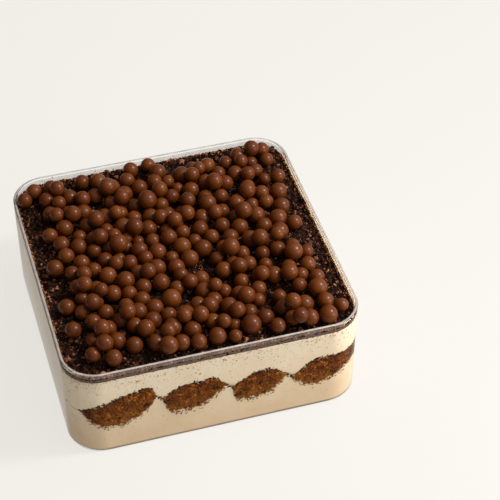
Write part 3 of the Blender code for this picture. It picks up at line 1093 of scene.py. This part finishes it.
def make_painted_rim_sheen():
    """A pale grey film on the top of the wall: painted reflection, the pale line that the rim's flat
    top shows.
    """
    inner, outer = -RIM_SHEEN_MARGIN, RIM_SHEEN_MARGIN - WALL
    low = HEIGHT + RIM_SHEEN_LIFT
    high = low + FILM
    mesh = wall_ring("rim_sheen", ((low, outer), (high, outer), (high, inner), (low, inner)))
    finish = Finish("rim_sheen", roughness=0.45, specular=0.3)
    # painted reflection of the bright surroundings on the rim
    greys = ((0.35, (0.50, 0.44, 0.40)), (0.65, (0.68, 0.61, 0.57)))
    finish.feed("Base Color", finish.ramp(finish.noise(5 * MM, detail=3.0), greys))
    finish.set("Alpha", RIM_SHEEN_ALPHA)
    new_object("rim_sheen", mesh, finish.material)


# ---- pearls


def keep_in_walls(x, y, radius):
    """Moves a pearl's centre back inside the walls and their round corners."""
    half = INNER_RIM - radius
    x = min(max(x, -half), half)
    y = min(max(y, -half), half)
    straight = SIDE / 2 - CORNER_RADIUS
    over_x, over_y = max(abs(x) - straight, 0.0), max(abs(y) - straight, 0.0)
    reach, room = math.hypot(over_x, over_y), half - straight
    if reach > room:
        x = math.copysign(straight + over_x * room / reach, x) if over_x else x
        y = math.copysign(straight + over_y * room / reach, y) if over_y else y
    return x, y


def bare_right(y):
    """Width of the strip of bare crumb along the right wall at y."""
    front_end, back_end = BARE_RIGHT_ENDS_Y
    front_share = 1 / (1 + math.exp((front_end - y) / BARE_BLEND))
    back_share = 1 / (1 + math.exp((y - back_end) / BARE_BLEND))
    return BARE_RIGHT_LEAST + (BARE_RIGHT - BARE_RIGHT_LEAST) * front_share * back_share


def drop_point(draw, radius):
    """Where one pearl falls: anywhere but the bare strips along the walls."""
    y = draw.uniform(-INNER_RIM + BARE_FRONT + radius, INNER_RIM - BARE_BACK - radius)
    x = draw.uniform(-INNER_RIM + BARE_LEFT + radius, INNER_RIM - bare_right(y) - radius)
    return keep_in_walls(x, y, radius + BARE_FRONT)


def rest_height(x, y, radius, pearls):
    """Height of a pearl's centre when it touches the crumb or the highest pearl under it."""
    height = CRUMB_TOP + GAP + radius
    for other_x, other_y, other_z, other_radius in pearls:
        rise = (radius + other_radius) ** 2 - (x - other_x) ** 2 - (y - other_y) ** 2
        if rise > 0:
            height = max(height, other_z + math.sqrt(rise))
    return height


def roll_down(x, y, radius, pearls):
    """Rolls a pearl downhill over the others, in ever shorter steps, until it is held."""
    near = [other for other in pearls if math.hypot(other[0] - x, other[1] - y) < ROLL_REACH]
    z = rest_height(x, y, radius, near)
    step = ROLL_FIRST_STEP
    while step > ROLL_LAST_STEP:
        for turn in range(ROLL_DIRECTIONS):
            angle = math.tau * turn / ROLL_DIRECTIONS
            new_x, new_y = x + step * math.cos(angle), y + step * math.sin(angle)
            new_x, new_y = keep_in_walls(new_x, new_y, radius)
            new_z = rest_height(new_x, new_y, radius, near)
            if new_z < z - 1e-7:
                x, y, z = new_x, new_y, new_z
                break
        else:
            step /= 2
    return x, y, z, radius


def settled_pearls():
    """Each pearl's centre and radius. Each one falls on the lowest of a few places and rolls down."""
    draw = random.Random(PEARL_SEED)
    pearls = []
    for _ in range(PEARL_COUNT):
        radius = min(max(draw.gauss(PEARL_RADIUS, PEARL_SPREAD), PEARL_SMALLEST), PEARL_LARGEST)
        places = [drop_point(draw, radius) for _ in range(DROP_TRIES)]
        x, y = min(places, key=lambda place: rest_height(*place, radius, pearls))
        pearls.append(roll_down(x, y, radius, pearls))
    return pearls


def any_direction(draw):
    """A direction at random, of length 1."""
    direction = np.array([draw.gauss(0, 1) for _ in range(3)])
    return direction / np.linalg.norm(direction)


def make_pearls(pearls):
    """The chocolate pearls, each a little out of round and with its own tone."""
    draw = random.Random(81)
    bm = bmesh.new()
    bmesh.ops.create_uvsphere(bm, u_segments=22, v_segments=12, radius=1.0)
    bmesh.ops.triangulate(bm, faces=bm.faces)
    ball, ball_faces = mesh_arrays(bm)
    points, faces, tones = [], [], []
    for number, (x, y, z, radius) in enumerate(pearls):
        along, away = ball @ any_direction(draw), ball @ any_direction(draw)
        swell = 1 + draw.uniform(-0.03, 0.03) * along**2 - 0.018 * np.clip(away, 0, 1) ** 4
        points.append(ball * (swell * radius)[:, None] + np.array((x, y, z)))
        faces.append(ball_faces + number * len(ball))
        tones.append(np.full(len(ball), min(max(draw.gauss(0.5, 0.2), 0.0), 1.0)))
    mesh = joined_mesh("pearls", points, faces, tones)
    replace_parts(new_object("pearls", mesh, milk_chocolate()), "pearl_heap")


# ---- floor, light and camera


def make_floor():
    """A plain pale table, lit from within so that shadows on it stay faint."""
    signs = ((-1, -1), (1, -1), (1, 1), (-1, 1))
    corners = [(x * TABLE_HALF, y * TABLE_HALF, TABLE_TOP) for x, y in signs]
    mesh = bpy.data.meshes.new("floor")
    mesh.from_pydata(corners, [], [(0, 1, 2, 3)])
    floor = in_scene("floor", mesh)
    finish = Finish("floor", roughness=0.9, specular=0.0)
    finish.set("Base Color", TABLE_COLOR)
    finish.set("Emission Color", TABLE_LIGHT_COLOR)
    path = finish.nodes.new("ShaderNodeLightPath")
    seen = finish.math("MAXIMUM", path.outputs["Is Camera Ray"], path.outputs["Is Transmission Ray"])
    finish.feed("Emission Strength", finish.range(seen, 0.0, 1.0, TABLE_SHINE, TABLE_GLOW))
    mesh.materials.append(finish.material)


def make_lamp(name, direction, distance, size, power):
    """A white softbox that faces the food from this direction."""
    lamp = bpy.data.lights.new(name, "AREA")
    lamp.shape = "DISK"
    lamp.size = size
    lamp.energy = power
    item = in_scene(name, lamp)
    away = Vector(direction).normalized()
    item.location = Vector((0.0, 0.0, HEIGHT)) + away * distance
    item.rotation_euler = away.to_track_quat("Z", "Y").to_euler()


def make_light():
    """The sky, its backdrop and the two lamps, all white."""
    world = bpy.data.worlds.new("studio")
    bpy.context.scene.world = world
    world.use_nodes = True
    nodes, links = world.node_tree.nodes, world.node_tree.links
    toward = nodes.new("ShaderNodeVectorMath")
    toward.operation = "DOT_PRODUCT"
    toward.inputs[1].default_value = Vector(KEY_DIRECTION).normalized()
    links.new(nodes.new("ShaderNodeTexCoord").outputs["Generated"], toward.inputs[0])
    glow = nodes.new("ShaderNodeMapRange")
    glow.interpolation_type = "SMOOTHSTEP"
    glow.inputs["From Min"].default_value = SKY_EDGE
    glow.inputs["To Min"].default_value = SKY_DIM
    glow.inputs["To Max"].default_value = SKY_BRIGHT
    links.new(toward.outputs["Value"], glow.inputs["Value"])
    path = nodes.new("ShaderNodeLightPath")
    seen = nodes.new("ShaderNodeMix")  # behind the table the backdrop shows as pale as the table
    seen.inputs["B"].default_value = BACKDROP
    links.new(path.outputs["Is Camera Ray"], seen.inputs["Factor"])
    links.new(glow.outputs["Result"], seen.inputs["A"])
    links.new(seen.outputs["Result"], nodes["Background"].inputs["Strength"])
    nodes["Background"].inputs["Color"].default_value = (1.0, 1.0, 1.0, 1.0)
    make_lamp("key", KEY_DIRECTION, KEY_DISTANCE, KEY_SIZE, KEY_POWER)
    make_lamp("side", SIDE_DIRECTION, SIDE_DISTANCE, SIDE_SIZE, SIDE_POWER)


def make_camera():
    """Looks down on the box from its front left, at a set distance."""
    rise, level = math.sin(CAMERA_ELEVATION), math.cos(CAMERA_ELEVATION)
    away = Vector((math.sin(CAMERA_AZIMUTH) * level, -math.cos(CAMERA_AZIMUTH) * level, rise))
    data = bpy.data.cameras.new("camera")
    data.sensor_width = 36.0
    data.lens = CAMERA_LENS
    camera = in_scene("camera", data)
    camera.location = Vector(CAMERA_AIM) + away * CAMERA_DISTANCE
    camera.rotation_mode = "QUATERNION"
    turn = (-away).to_track_quat("-Z", "Y")
    camera.rotation_quaternion = turn @ Euler((0.0, 0.0, CAMERA_ROLL)).to_quaternion()
    bpy.context.scene.camera = camera


def main():
    """Builds the stage and all the pieces."""
    bpy.context.scene.view_settings.view_transform = "Standard"
    make_camera()
    make_light()
    make_floor()
    make_box()
    make_creams(mascarpone_cream())
    make_ladyfingers(soaked_sponge())
    make_cream_specks()
    make_finger_crumbs()
    make_sponge_bits()
    make_cocoa_flecks()
    pearls = settled_pearls()
    make_crumb_bed()
    make_crumb_edge()
    make_crumb_grains(pearls)
    make_fringe()
    make_wall_dust()
    make_painted_wall_sheen()
    make_painted_rim_sheen()
    make_pearls(pearls)


main()
